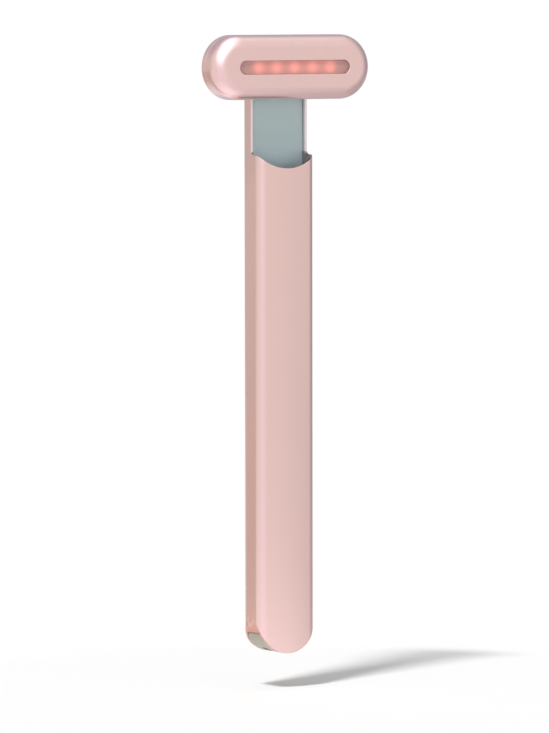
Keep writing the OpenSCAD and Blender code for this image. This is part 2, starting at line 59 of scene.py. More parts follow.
# %% Sizes shared with the CAD model
mm = 0.001
handle_w, wall = 17.0, 1.2
front_r, back_r = 2.3, 2.7
grip_l, fold_gap, horn_gap = 124.4, 2.1, 0.4
neck_y, neck_over, top_r = 1.4, 7.2, 5.0
head_l, head_h, head_wall = 47.4, 16.5, 1.2
head_front_r, head_back_r = 3.5, 0.5
slot_l, slot_w, slot_bevel, window_recess = 33.2, 3.5, 0.1, 0.4
led_count, led_pitch = 5, 5.4
rim, rim_top = 0.65, 7.0
neck_rim, shoulder_z = 0.65, grip_l - 3.8
ramp_l, ramp_h, mouth_lean = 1.5, 0.9, 0.08
crown_r = 70.0
foot_r = handle_w / 2
front_y, back_y = -3.0, 6.4
head_front_y, head_back_y, split_y = -6.4, 1.1, -0.7
pivot_z = grip_l + fold_gap + head_l / 2
handle_top = pivot_z + neck_over
horn_z = pivot_z - math.sqrt((head_l / 2 + horn_gap) ** 2 - foot_r**2)
mouth_rise = horn_z - grip_l
mouth_r = (foot_r**2 + mouth_rise**2) / (2 * mouth_rise)
head_c = (head_l - head_h) / 2
slot_c = (slot_l - slot_w) / 2
button_z, button_d = 78.0, 6.0
pipe_y, pipe_z, pipe_d = 2.3, 8.5, 1.2
print("pivot", round(pivot_z, 2), "horn", round(horn_z, 2), "mouth radius", round(mouth_r, 2))

# %% [markdown]
# ## Camera
# The photograph was taken from the wand's left, a little above, with a long lens. A
# perspective fit to the outlines gave this place, turn and lens. Blender's sensor width
# belongs to the long side.

# %% Camera at the photograph's view
def place(name, data):
    """Makes an object at the origin and links it into the scene."""
    made = bpy.data.objects.new(name, data)
    scene.collection.objects.link(made)
    return made


yaw, pitch, roll = 0.5689, 0.0630, -0.0014
camera_distance, camera_lens = 1.58868, 305.5
looked_at = Vector((-4.235, -2.928, 73.843)) * mm
forward = Vector(
    (math.sin(yaw) * math.cos(pitch), math.cos(yaw) * math.cos(pitch), -math.sin(pitch))
)
camera = place("camera", bpy.data.cameras.new("camera"))
scene.camera = camera
camera.data.sensor_width = 36
camera.data.lens = camera_lens
camera.data.clip_start, camera.data.clip_end = 0.05, 300
camera.location = looked_at - forward * camera_distance
camera.rotation_mode = "QUATERNION"
camera.rotation_quaternion = forward.to_track_quat("-Z", "Y") @ Quaternion((0, 0, 1), roll)
print("camera", [round(v, 3) for v in camera.location])

# %% [markdown]
# ## Mesh helpers
# A skin is a list of points and faces in millimetres. The helper makes the mesh in metres
# with its object at the origin, joins doubled points and turns the faces outward. A skin
# can also carry a number on each face, which its finish reads to paint light and shade onto
# cut edges in other colours.


# %% Helpers that make and finish a mesh
def make_piece(name, points, faces, material=None, marks=None):
    mesh = bpy.data.meshes.new(name)
    mesh.from_pydata([Vector(p) * mm for p in points], [], faces)
    if marks:
        mesh.attributes.new("painted_edge_light", "FLOAT", "FACE").data.foreach_set("value", marks)
    piece = place(name, mesh)
    if material:
        mesh.materials.append(material)
    tidy_mesh(piece)
    return piece


def tidy_mesh(piece, dissolve=None):
    """Joins doubled points, and flat faces where dissolve is given. Turns faces outward."""
    bm = bmesh.new()
    bm.from_mesh(piece.data)
    bmesh.ops.remove_doubles(bm, verts=bm.verts, dist=1e-7)
    if dissolve:
        bmesh.ops.dissolve_limit(
            bm, angle_limit=math.radians(dissolve), verts=bm.verts, edges=bm.edges
        )
    bmesh.ops.recalc_face_normals(bm, faces=bm.faces)
    bm.to_mesh(piece.data)
    bm.free()
    for face in piece.data.polygons:
        face.use_smooth = True


def bake_modifiers(piece):
    """Turns the modifiers' result into the piece's own plain mesh."""
    depsgraph = bpy.context.evaluated_depsgraph_get()
    depsgraph.update()
    old = piece.data
    new = bpy.data.meshes.new_from_object(
        piece.evaluated_get(depsgraph), preserve_all_data_layers=True, depsgraph=depsgraph
    )
    piece.modifiers.clear()
    piece.data = new
    new.name = old.name
    return piece


def soften(piece, width, angle, segments):
    """A bevel on the edges that are sharper than an angle."""
    bevel = piece.modifiers.new("soft edges", "BEVEL")
    bevel.width = width * mm
    bevel.segments = segments
    bevel.limit_method = "ANGLE"
    bevel.angle_limit = math.radians(angle)
    bevel.use_clamp_overlap = False
    bevel.miter_outer = "MITER_ARC"
    return bevel


def even_normals(piece):
    """Keeps large flat faces flat where they meet a narrow rounded edge."""
    weighted = piece.modifiers.new("even normals", "WEIGHTED_NORMAL")
    weighted.mode = "FACE_AREA"
    weighted.weight = 80


def cut(piece, *cutters, operation="DIFFERENCE"):
    """Cuts other pieces out of one, or joins them to it, and removes them."""
    for cutter in cutters:
        boolean = piece.modifiers.new("cut", "BOOLEAN")
        boolean.operation = operation
        boolean.solver = "EXACT"
        boolean.object = cutter
    bake_modifiers(piece)
    for cutter in cutters:
        bpy.data.objects.remove(cutter)


def lathe(name, profile, axis, origin, segments=64, material=None):
    """Turns (radius, height) pairs round an axis. A radius of 0 closes an end."""
    axis = Vector(axis)
    side = axis.orthogonal().normalized()
    up = axis.cross(side)
    points, faces = [], []
    for radius, height in profile:
        middle = Vector(origin) + axis * height
        for k in range(segments):
            a = 2 * math.pi * k / segments
            points.append(middle + (side * math.cos(a) + up * math.sin(a)) * radius)
    for i in range(len(profile) - 1):
        for k in range(segments):
            a, b = i * segments + k, i * segments + (k + 1) % segments
            faces.append((a, b, b + segments, a + segments))
    return make_piece(name, points, faces, material)


def arc(cx, cy, radius, start, end, count):
    """Points on an arc, in degrees, both ends included."""
    return [
        (
            cx + radius * math.cos(math.radians(start + (end - start) * i / count)),
            cy + radius * math.sin(math.radians(start + (end - start) * i / count)),
        )
        for i in range(count + 1)
    ]


print("helpers ready")

# %% [markdown]
# ## Shader node groups
# Almost every finish here is fine-grained, so one group holds the grain. It puts out a fine
# noise alone, for the roughness, and a height in which a broad, cloudy noise is mixed, for
# the colour and the bump. Each material places it with its own scale.
# The group only puts out values that change over the surface, because the export reads
# plain numbers from the shader's own sockets.


# %% Helpers for node trees
def feed(tree, socket, value):
    """Wires another node's output to a socket, or sets the socket to a plain value."""
    if isinstance(value, bpy.types.NodeSocket):
        tree.links.new(value, socket)
    else:
        socket.default_value = value


def add(tree, kind, inputs=None, **settings):
    """Adds a node. The settings come first, because they decide which sockets it has."""
    node = tree.nodes.new(kind)
    for key, value in settings.items():
        setattr(node, key, value)
    for name, value in (inputs or {}).items():
        feed(tree, node.inputs[name], value)
    return node


def math_node(tree, operation, *values):
    values = dict(enumerate(values))
    return add(tree, "ShaderNodeMath", operation=operation, inputs=values).outputs[0]


def ranged(tree, value, before, after, how="SMOOTHSTEP"):
    """Turns the range before into the range after, and holds the ends."""
    labels = ("From Min", "From Max", "To Min", "To Max")
    values = {"Value": value, **dict(zip(labels, (*before, *after)))}
    return add(tree, "ShaderNodeMapRange", interpolation_type=how, inputs=values).outputs[0]


def mixed(tree, factor, first, second):
    """The first colour where the factor is 0, the second where it is 1."""
    values = {"Factor": factor, "A": first, "B": second}
    return add(tree, "ShaderNodeMix", data_type="RGBA", inputs=values).outputs["Result"]


def new_group(name, ins, outs, kind="Shader"):
    """A node group with named sockets: its tree, what comes in, and what goes out."""
    tree = bpy.data.node_groups.new(name, kind + "NodeTree")
    made = tree.interface.new_socket
    for label, sort, value in ins:
        socket = made(label, in_out="INPUT", socket_type="NodeSocket" + sort)
        if value is not None:
            socket.default_value = value
    for label, sort in outs:
        made(label, in_out="OUTPUT", socket_type="NodeSocket" + sort)
    return tree, add(tree, "NodeGroupInput").outputs, add(tree, "NodeGroupOutput").inputs


# %% The grain group
grain, g_in, g_out = new_group(
    "grain",
    [("Vector", "Vector", None), ("Scale", "Float", 3000.0), ("Broad scale", "Float", 60.0)],
    [("Fine", "Float"), ("Height", "Float")],
)
fine, broad = [
    add(
        grain, "ShaderNodeTexNoise",
        inputs={
            "Vector": g_in["Vector"], "Scale": g_in[scale],
            "Detail": detail, "Roughness": rough,
        },
    ).outputs["Fac"]
    for scale, detail, rough in (("Scale", 2.0, 0.6), ("Broad scale", 3.0, 0.5))
]
fine_share, broad_share = 0.7, 0.3
small_relief = math_node(grain, "MULTIPLY", fine, fine_share)
feed(grain, g_out["Fine"], fine)
relief = math_node(grain, "MULTIPLY_ADD", broad, broad_share, small_relief)
feed(grain, g_out["Height"], relief)
print("group", grain.name)


# %% A material from two colours, a roughness range and the grain
def srgb(red, green, blue):
    """A colour as read on a screen, 0 to 255, as Blender's linear numbers."""

    def line(v):
        v /= 255
        return v / 12.92 if v <= 0.04045 else ((v + 0.055) / 1.055) ** 2.4

    return (line(red), line(green), line(blue), 1.0)


def empty_tree(owner):
    """Turns on the nodes of a material or a world, and clears them."""
    owner.use_nodes = True
    owner.node_tree.nodes.clear()
    return owner.node_tree


def show(tree, shader, owner="Material"):
    """Wires a shader to the output of the material or the world."""
    feed(tree, add(tree, "ShaderNodeOutput" + owner).inputs["Surface"], shader.outputs[0])


fine_low, fine_high = 0.3, 0.7


def finish_of(
    name, light, dark, rough, metallic=0.0, scale=3000.0, broad_scale=60.0, bump=0.0,
    stretch=(1, 1, 1), **plain
):
    """The bump is in millimetres. Extra words, as coat_weight=0.5, set shader sockets."""
    material = bpy.data.materials.new(name)
    tree = empty_tree(material)
    shader = add(tree, "ShaderNodeBsdfPrincipled", inputs={"Metallic": metallic})
    where = add(tree, "ShaderNodeTexCoord").outputs["Object"]
    mapping = add(tree, "ShaderNodeMapping", inputs={"Vector": where, "Scale": stretch})
    grained = add(
        tree, "ShaderNodeGroup", node_tree=grain,
        inputs={"Vector": mapping.outputs[0], "Scale": scale, "Broad scale": broad_scale},
    ).outputs
    roughness = ranged(tree, grained["Fine"], (fine_low, fine_high), rough, "LINEAR")
    feed(tree, shader.inputs["Base Color"], mixed(tree, grained["Height"], dark, light))
    feed(tree, shader.inputs["Roughness"], roughness)
    if bump:
        relief = {"Strength": 1.0, "Distance": bump * mm, "Height": grained["Height"]}
        bumped = add(tree, "ShaderNodeBump", inputs=relief).outputs[0]
        feed(tree, shader.inputs["Normal"], bumped)
    for key, value in plain.items():
        label = key.replace("_", " ").title().replace("Ior", "IOR")
        shader.inputs[label].default_value = value
    show(tree, shader)
    return material


def parts_of(material):
    """What a special finish is wired to: tree, shader, Object coordinates, colour so far."""
    tree = material.node_tree
    kinds = {n.type: n for n in tree.nodes}
    shader = kinds["BSDF_PRINCIPLED"]
    colour = shader.inputs["Base Color"].links[0].from_socket
    return tree, shader, kinds["TEX_COORD"].outputs["Object"], colour


# %% [markdown]
# ## The wand's finishes
# The tube and the head are aluminium with a fine metallic pink coat: mostly metal, satin,
# and under a thin clear coat that is glossier on the head. The plate in the neck and the
# plug are plain moulded plastic.

# %% Finishes of the skins
pink_tube = finish_of(
    "pink_tube", srgb(231, 197, 189), srgb(226, 190, 182), (0.29, 0.35), metallic=0.82,
    scale=9000, broad_scale=45, bump=0.0004, coat_weight=0.5, coat_roughness=0.22,
)
pink_head = finish_of(
    "pink_head", srgb(233, 197, 191), srgb(229, 192, 186), (0.27, 0.31), metallic=0.8,
    scale=9000, broad_scale=60, bump=0.0003, coat_weight=0.9, coat_roughness=0.16,
)
button_pink = finish_of(
    "button_pink", srgb(222, 186, 176), srgb(214, 176, 166), (0.28, 0.36), metallic=0.75,
    scale=90, broad_scale=300, bump=0.002, stretch=(1, 1, 40), coat_weight=0.2,
)
teal_plastic = finish_of(
    "teal_plastic", srgb(190, 209, 209), srgb(184, 203, 203), (0.42, 0.55),
    scale=2600, broad_scale=70, bump=0.004, specular_ior_level=0.4,
)
plug_plastic = finish_of(
    "plug_plastic", srgb(173, 166, 144), srgb(165, 157, 137), (0.38, 0.5),
    scale=2600, broad_scale=140, bump=0.004,
)
print("skins", pink_tube.name, pink_head.name, button_pink.name)

# %% [markdown]
# The tube's cut edges and its inside get colours apart from the pink coat, and these colours
# are painted light and shade. The mesh marks those faces with a number, so the finish needs
# no masks that follow the shape: 0 is the coat, 1 is a cut edge or the inside, 2 is the lip
# of the mouth, which gets a darker painted shade. The colour also depends on height: a warm
# painted reflection at the foot's edge fades into the wall, the inside near the mouth gets a
# grey painted shade, and the neck's edge gets a pale painted highlight.

# %% Painted light and shade on the tube's cut edges and inside
foot_reflection_h, shaded_lip_mark = 3.6, 2.0
tree, shader, where, colour = parts_of(pink_tube)
mark = add(tree, "ShaderNodeAttribute", attribute_name="painted_edge_light").outputs["Fac"]
up = add(tree, "ShaderNodeSeparateXYZ", inputs={0: where}).outputs["Z"]
above_foot = math_node(tree, "GREATER_THAN", up, foot_r * 2 * mm)
at_neck = math_node(tree, "GREATER_THAN", up, (horn_z + ramp_h) * mm)
at_lip = math_node(tree, "GREATER_THAN", mark, shaded_lip_mark - 0.5)
foot_reflection_fade = ranged(tree, up, ((foot_r - foot_reflection_h) * mm, foot_r * mm), (1.0, 0.0))
painted_light_share = math_node(tree, "MULTIPLY", mark, math_node(tree, "MAXIMUM", above_foot, foot_reflection_fade))
# painted light: warm painted reflection at the foot, grey painted shade inside, darker
# painted shade on the lip, pale painted highlight at the neck
painted_edge_light = mixed(tree, above_foot, srgb(204, 148, 133), srgb(178, 170, 166))
painted_edge_light = mixed(tree, at_lip, painted_edge_light, srgb(118, 106, 104))
painted_edge_light = mixed(tree, at_neck, painted_edge_light, srgb(238, 230, 232))
feed(tree, shader.inputs["Base Color"], mixed(tree, painted_light_share, colour, painted_edge_light))
print("bare edges in", pink_tube.name)

# %% [markdown]
# The teal plate goes down into the tube, where the mouth's shade falls on it. Its low end
# looks pale and a little blue all the same, so the plastic gets a paler, bluer colour towards
# that end: painted light, like a faint blue glow that lifts the shade.

# %% Painted light on the low end of the neck plate
painted_glow_from, painted_glow_to = grip_l - 0.5, grip_l + 9.0
tree, shader, where, colour = parts_of(teal_plastic)
up = add(tree, "ShaderNodeSeparateXYZ", inputs={0: where}).outputs["Z"]
# painted light: paler and bluer towards the low end, against the mouth's shade
painted_glow_share = ranged(tree, up, (painted_glow_from * mm, painted_glow_to * mm), (1.0, 0.0))
feed(tree, shader.inputs["Base Color"], mixed(tree, painted_glow_share, colour, srgb(214, 236, 243)))
print("paler end from", painted_glow_from, "to", painted_glow_to)

# %% [markdown]
# ## The head
# Every ring round the head is a stadium: two half circles and two straight sides. So the
# whole shell follows one rule, and Geometry Nodes can make it: a grid whose rows read a
# short profile (half-length of the straight side, radius, depth) and whose columns go round
# the stadium. The same tree makes the front shell, the back shell and the light window from
# three profiles.


# %% The stadium loft as a node tree
def stadium_loft():
    tree, put, result = new_group(
        "stadium loft",
        [
            ("Geometry", "Geometry", None),
            ("End segments", "Int", 36),
            ("Rings", "Int", 8),
            ("Middle height", "Float", pivot_z * mm),
            ("Material", "Material", None),
        ],
        [("Geometry", "Geometry")],
        kind="Geometry",
    )

    def calc(operation, *values):
        return math_node(tree, operation, *values)

    per_end = calc("ADD", put["End segments"], 1)
    around = calc("MULTIPLY", per_end, 2)
    size = {"Vertices X": calc("ADD", around, 1), "Vertices Y": put["Rings"]}
    grid = add(tree, "GeometryNodeMeshGrid", inputs=size)
    index = add(tree, "GeometryNodeInputIndex").outputs[0]
    column = calc("FLOOR", calc("DIVIDE", calc("ADD", index, 0.5), put["Rings"]))
    row = calc("SUBTRACT", index, calc("MULTIPLY", column, put["Rings"]))
    in_ring = calc("MODULO", column, around)
    side = calc("FLOOR", calc("DIVIDE", calc("ADD", in_ring, 0.5), per_end))
    step = calc("SUBTRACT", in_ring, calc("MULTIPLY", side, per_end))
    turn = calc("ADD", calc("DIVIDE", step, put["End segments"]), side)
    angle = calc("MULTIPLY", calc("SUBTRACT", turn, 0.5), math.pi)
    read = {}
    for label in ("straight", "radius", "depth"):
        stored = add(
            tree, "GeometryNodeInputNamedAttribute", data_type="FLOAT", inputs={"Name": label}
        ).outputs["Attribute"]
        read[label] = add(
            tree, "GeometryNodeSampleIndex", data_type="FLOAT", domain="POINT",
            inputs={"Geometry": put["Geometry"], "Value": stored, "Index": row},
        ).outputs["Value"]
    end = calc("SUBTRACT", 1, calc("MULTIPLY", side, 2))
    across = calc("MULTIPLY", read["radius"], calc("COSINE", angle))
    up = calc("MULTIPLY", read["radius"], calc("SINE", angle))
    place_at = add(
        tree, "ShaderNodeCombineXYZ",
        inputs={
            "X": calc("ADD", calc("MULTIPLY", read["straight"], end), across),
            "Y": read["depth"],
            "Z": calc("ADD", put["Middle height"], up),
        },
    ).outputs[0]
    made = grid.outputs["Mesh"]
    for kind, inputs in (
        ("SetPosition", {"Position": place_at}),
        ("MergeByDistance", {"Distance": 1e-7}),
        ("RealizeInstances", {}),
        ("SetMaterial", {"Material": put["Material"]}),
    ):
        step_node = add(tree, "GeometryNode" + kind, inputs={"Geometry": made, **inputs})
        made = step_node.outputs[0]
    feed(tree, result["Geometry"], made)
    return tree


loft_tree = stadium_loft()
print("tree", loft_tree.name, len(loft_tree.nodes), "nodes")


# %% Profiles become skins through the tree
def set_input(modifier, label, value):
    for item in modifier.node_group.interface.items_tree:
        if item.item_type == "SOCKET" and item.in_out == "INPUT" and item.name == label:
            modifier[item.identifier] = value
            return
    raise KeyError(label)


def loft(name, profile, material, closed, segments=36):
    """Makes a skin from (straight, radius, depth) rings in millimetres."""
    rings = profile + profile[:1] if closed else profile
    mesh = bpy.data.meshes.new(name)
    mesh.from_pydata([(0, 0, i * mm) for i in range(len(rings))], [], [])
    for k, label in enumerate(("straight", "radius", "depth")):
        layer = mesh.attributes.new(label, "FLOAT", "POINT")
        layer.data.foreach_set("value", [ring[k] * mm for ring in rings])
    piece = place(name, mesh)
    modifier = piece.modifiers.new("loft", "NODES")
    modifier.node_group = loft_tree
    for label, value in (
        ("End segments", segments), ("Rings", len(rings)), ("Material", material),
        ("Middle height", pivot_z * mm),
    ):
        set_input(modifier, label, value)
    bake_modifiers(piece)
    tidy_mesh(piece)
    print(name, len(piece.data.vertices), "points")
    return piece


def ring_arc(straight, *curve):
    """Rings of one straight half-length, whose radius and depth follow an arc."""
    return [(straight, radius, depth) for radius, depth in arc(*curve)]


seam_r, soft, edge = 0.06, 0.05, 0.1
head_r = head_h / 2
shell_in_r, inner_flat = head_r - head_wall, head_r - head_front_r
front_in_y, round_y = head_front_y + head_wall, head_front_y + head_front_r
front_profile = [
    *ring_arc(head_c, head_r - seam_r, split_y - seam_r, seam_r, 90, 0, 3),
    *ring_arc(head_c, inner_flat, round_y, head_front_r, 0, -90, 22),
    *ring_arc(
        slot_c, slot_w / 2 + slot_bevel, head_front_y + slot_bevel, slot_bevel, -90, -180, 4
    ),
    (slot_c, slot_w / 2, front_in_y - soft),
    (slot_c, slot_w / 2 + soft, front_in_y),
    *ring_arc(head_c, inner_flat, round_y, head_front_r - head_wall, -90, 0, 10),
    (head_c, shell_in_r, split_y - seam_r),
    (head_c, shell_in_r + seam_r, split_y),
]
front_shell = loft("front_shell", front_profile, pink_head, closed=True)

# %% [markdown]
# The back shell is the same kind of ring, but its inner edge is the round boss that bears
# on the neck.

# %% Back shell of the head
boss_r, boss_end_y, bore_r = 5.65, 2.0, 3.02
lip_gap, lip_reach, lip_h = 0.1, 1.0, 1.3
back_in_y = head_back_y - head_wall
lip_r, lip_in_r, lip_y = shell_in_r - lip_gap, shell_in_r - lip_reach, split_y - lip_h
boss_corners = (
    (boss_r + edge, head_back_y), (boss_r, head_back_y + edge),
    (boss_r, boss_end_y - edge), (boss_r - edge, boss_end_y),
    (bore_r + edge, boss_end_y), (bore_r, boss_end_y - edge),
    (bore_r, back_in_y + soft), (bore_r + soft, back_in_y),
)
lip_corners = (
    (lip_in_r - edge, back_in_y), (lip_in_r, back_in_y - edge),
    (lip_in_r, lip_y + soft), (lip_in_r + soft, lip_y),
    (lip_r - edge, lip_y), (lip_r, lip_y + edge), (lip_r, split_y),
)
back_profile = [
    *ring_arc(head_c, head_r - seam_r, split_y + seam_r, seam_r, -90, 0, 3),
    *ring_arc(head_c, head_r - head_back_r, head_back_y - head_back_r, head_back_r, 0, 90, 8),
    *[(0, radius, depth) for radius, depth in boss_corners],
    *[(head_c, radius, depth) for radius, depth in lip_corners],
]
back_shell = loft("back_shell", back_profile, pink_head, closed=True)

# %% [markdown]
# The light board is screwed to two posts inside the back shell, and a small pin stops the
# head at the ends of its swivel. All three are round, so they are turned from a profile
# and joined to the shell.

# %% Screw posts and stop pin
post_x, post_y, post_r, post_l = 15.4, -3.3, 1.6, 3.4
pin_y, pin_up, pin_r, pin_l = 1.85, 4.75, 0.4, 1.35
post_profile = [(0, 0), (post_r - edge, 0), (post_r, edge), (post_r, post_l), (0, post_l)]
pin_profile = [(0, 0), (pin_r, 0), (pin_r, pin_l - edge), (pin_r - seam_r, pin_l), (0, pin_l)]
posts = [
    lathe("post", post_profile, (0, 1, 0), (side * post_x, post_y, pivot_z), 32)
    for side in (-1, 1)
]
pin = lathe("pin", pin_profile, (0, 1, 0), (0, pin_y, pivot_z + pin_up), 24)
cut(back_shell, *posts, pin, operation="UNION")
tidy_mesh(back_shell)
print("back shell with posts", len(back_shell.data.vertices), "points")

# %% [markdown]
# ## The light window
# The window is a strip of frosted plastic that lies a little deep in the slot, with a
# flange behind the shell. Five small red lights shine through it. Frosting blurs them into
# soft spots, so the finish adds the glow itself: a shader group measures the distance to
# the nearest light in the row.

# %% The row of soft lights as a shader group
spot_r = 1.5
glow_row, r_in, r_out = new_group(
    "glow row",
    [
        ("Vector", "Vector", None), ("Pitch", "Float", led_pitch * mm),
        ("Count", "Float", float(led_count)), ("Height", "Float", pivot_z * mm),
        ("Spot", "Float", spot_r * mm),
    ],
    [("Glow", "Float"), ("Halo", "Float")],
)


def row(operation, *values):
    return math_node(glow_row, operation, *values)


def square(value):
    return row("MULTIPLY", value, value)


squash_up, spot_edge, halo_fall = 1.05, 2.4, 0.5
at = add(glow_row, "ShaderNodeSeparateXYZ", inputs={0: r_in["Vector"]}).outputs
half_row = row("MULTIPLY", row("SUBTRACT", r_in["Count"], 1.0), 0.5)
counted = row("ADD", row("DIVIDE", at["X"], r_in["Pitch"]), half_row)
nearest = row("MAXIMUM", row("ROUND", counted), 0.0)
nearest = row("MINIMUM", nearest, row("MULTIPLY", half_row, 2.0))
aside = row("MULTIPLY", row("SUBTRACT", counted, nearest), r_in["Pitch"])
above = row("MULTIPLY", row("SUBTRACT", at["Z"], r_in["Height"]), squash_up)
away = row("DIVIDE", row("SQRT", row("ADD", square(aside), square(above))), r_in["Spot"])
spot_fade = row("MULTIPLY", row("POWER", away, spot_edge), -1.0)
feed(glow_row, r_out["Glow"], row("EXPONENT", spot_fade))
past = row("SUBTRACT", row("ABSOLUTE", at["X"]), row("MULTIPLY", half_row, r_in["Pitch"]))
past = row("DIVIDE", row("MAXIMUM", past, 0.0), r_in["Spot"])
beyond = row("ADD", square(past), square(row("DIVIDE", above, r_in["Spot"])))
feed(glow_row, r_out["Halo"], row("EXPONENT", row("MULTIPLY", beyond, -halo_fall)))
print("group", glow_row.name)

# %% Frosted window and its finish
window_finish = finish_of(
    "frosted_window", srgb(198, 152, 144), srgb(187, 141, 133), (0.34, 0.45),
    scale=3400, broad_scale=160, bump=0.003, coat_weight=0.15,
)
tree, shader, where, _ = parts_of(window_finish)
lights = add(tree, "ShaderNodeGroup", node_tree=glow_row, inputs={"Vector": where}).outputs
halo = mixed(tree, lights["Halo"], (0.0, 0.0, 0.0, 1), (0.42, 0.06, 0.04, 1))
spots = mixed(tree, lights["Glow"], halo, (0.90, 0.20, 0.15, 1))
feed(tree, shader.inputs["Emission Color"], spots)
shader.inputs["Emission Strength"].default_value = 0.6

window_gap, window_t, flange_w, flange_gap = 0.03, 0.5, 0.8, 0.01
lens_r, lens_y = slot_w / 2 - window_gap, head_front_y + window_recess
flange_r, flange_y = slot_w / 2 + flange_w, front_in_y + flange_gap
window_corners = (
    (0, lens_y), (lens_r - seam_r, lens_y), (lens_r, lens_y + seam_r),
    (lens_r, flange_y), (flange_r - soft, flange_y), (flange_r, front_in_y + soft),
    (flange_r, front_in_y + window_t), (0, front_in_y + window_t),
)
window_profile = [(slot_c, radius, depth) for radius, depth in window_corners]
window = loft("window", window_profile, window_finish, closed=False, segments=24)

# %% [markdown]
# ## The handle tube
# The tube is one wall with two shaped ends: a half-round foot, and a curved mouth in front
# of a neck that is cut back to half its depth. It is made column by column round the
# section. Each column runs up the outside, over the rim and down the inside, so the wall is
# closed and exact. Flat stretches are then joined into single faces, which keeps the soft
# edges clean. Each face is marked as it is made with how much painted light and shade its
# finish gets: none on the coat, half on the neck's cut edge, full on the other cut edges and
# the inside, and the darker painted shade of the mouth's lip.


# %% The tube's section and its end curves
corner_steps, front_steps, back_steps, ramp_steps = 12, 28, 26, 6


def tube_columns(inset):
    """Points round the section: from the neck line at the left, past the front, and back."""
    left, right = -handle_w / 2 + inset, handle_w / 2 - inset
    near, far = front_y + inset, back_y - inset
    rf, rb = front_r - inset, back_r - inset
    flat, back_flat = handle_w / 2 - front_r, handle_w / 2 - back_r
    # the front is very slightly crowned, and its corners are tangent to the crown
    lean = math.asin(flat / (crown_r - rf))
    corner_y = near + crown_r - (crown_r - rf) * math.cos(lean)
    turn, reach = math.degrees(lean), crown_r * math.sin(lean)
    ramp = [
        neck_y - ramp_l * (1 - math.cos(math.radians(90 * k / ramp_steps)))
        for k in range(ramp_steps)
    ]
    front = [(left, y) for y in ramp]
    front += arc(-flat, corner_y, rf, 180, 270 - turn, corner_steps)
    for i in range(1, front_steps):
        x = -reach + 2 * reach * i / front_steps
        front.append((x, near + crown_r - math.sqrt(crown_r**2 - x * x)))
    front += arc(flat, corner_y, rf, 270 + turn, 360, corner_steps)
    front += [(right, y) for y in reversed(ramp)]
    behind = arc(back_flat, far - rb, rb, 0, 90, corner_steps)
    behind += [
        (back_flat - 2 * back_flat * i / back_steps, far) for i in range(1, back_steps)
    ]
    behind += arc(-back_flat, far - rb, rb, 90, 180, corner_steps)
    return front, behind


def foot_height(x):
    return foot_r - math.sqrt(max(foot_r**2 - x * x, 0))


def mouth_height(x, y):
    """The mouth's arc, with a hollow ramp up to the neck's cut edge at each side."""
    along = min(max(1 - (neck_y - y) / ramp_l, 0), 1)
    rise = ramp_h * (1 - math.sqrt(1 - along**2)) + mouth_lean * min(y - front_y, front_r)
    return grip_l + mouth_r - math.sqrt(mouth_r**2 - x * x) + rise


def top_height(x):
    over = max(abs(x) - (foot_r - top_r), 0)
    return handle_top - top_r + math.sqrt(max(top_r**2 - over**2, 0))


# %% Walls of the tube, column by column
low_rows = [20.0, 70.0, 86.0, 118.0]
high_rows = [136.0, 150.0]
# marks: how much of the cut edges' painted light and shade a face gets
coated, half_painted_light_mark, full_painted_light_mark = 0.0, 0.5, 1.0
mouth_row = len(low_rows) + 1


def build_tube():
    outer, inner = tube_columns(0), tube_columns(wall)
    neck, seat = tube_columns(neck_rim), tube_columns(rim)
    points, faces, marks, columns = [], [], [], []

    def vertex(x, y, z):
        points.append((x, y, z))
        return len(points) - 1

    def column(o, i, n, s, long):
        up = [vertex(*o, foot_height(o[0]))] + [vertex(*o, z) for z in low_rows]
        down = [vertex(*n, shoulder_z), vertex(*i, shoulder_z)]
        down += [vertex(*i, z) for z in reversed(low_rows)]
        down += [vertex(*i, rim_top), vertex(*s, rim_top), vertex(*s, foot_height(s[0]))]
        edge_o, edge_n = vertex(*o, mouth_height(*o)), vertex(*n, mouth_height(*n))
        tall_o = tall_n = []
        if long:
            tall_o = [vertex(*o, z) for z in high_rows] + [vertex(*o, top_height(o[0]))]
            tall_n = [vertex(*n, top_height(n[0]))]
            tall_n += [vertex(*n, z) for z in reversed(high_rows)]
        return {
            "short": up + [edge_o, edge_n] + down,
            "long": up + [edge_o] + tall_o + tall_n + [edge_n] + down,
            "neck": ([edge_o] + tall_o, [edge_n] + tall_n[::-1]),
        }

    n_front = len(outer[0])
    for part in (0, 1):
        around = zip(outer[part], inner[part], neck[part], seat[part])
        for k, (o, i, n, s) in enumerate(around):
            at_neck = part == 0 and k in (0, n_front - 1)
            columns.append(column(o, i, n, s, part == 1 or at_neck))

    def mark_of(k, outside):
        if k < outside:
            return coated
        return shaded_lip_mark if k == outside == mouth_row else full_painted_light_mark

    def strip(a, b, outside):
        for k in range(len(a)):
            n = (k + 1) % len(a)
            faces.append((a[k], b[k], b[n], a[n]))
            marks.append(mark_of(k, outside))

    for k in range(len(columns)):
        n = (k + 1) % len(columns)
        kind = "short" if n and n < n_front else "long"
        outside = mouth_row + (len(high_rows) + 1 if kind == "long" else 0)
        strip(columns[k][kind], columns[n][kind], outside)
    for k in (0, n_front - 1):
        a, b = columns[k]["neck"]
        for j in range(len(a) - 1):
            faces.append((a[j], a[j + 1], b[j + 1], b[j]))
            marks.append(half_painted_light_mark)
    return make_piece("tube", points, faces, pink_tube, marks)


tube = build_tube()
tidy_mesh(tube, dissolve=0.4)
print("tube", len(tube.data.vertices), "points", len(tube.data.polygons), "faces")

# %% [markdown]
# The button's hole and the charge light's hole are cut with plain cylinders. The long edges
# are softened before the cut and the holes' edges after it, because a bevel that meets a
# round hole halfway leaves ragged corners.

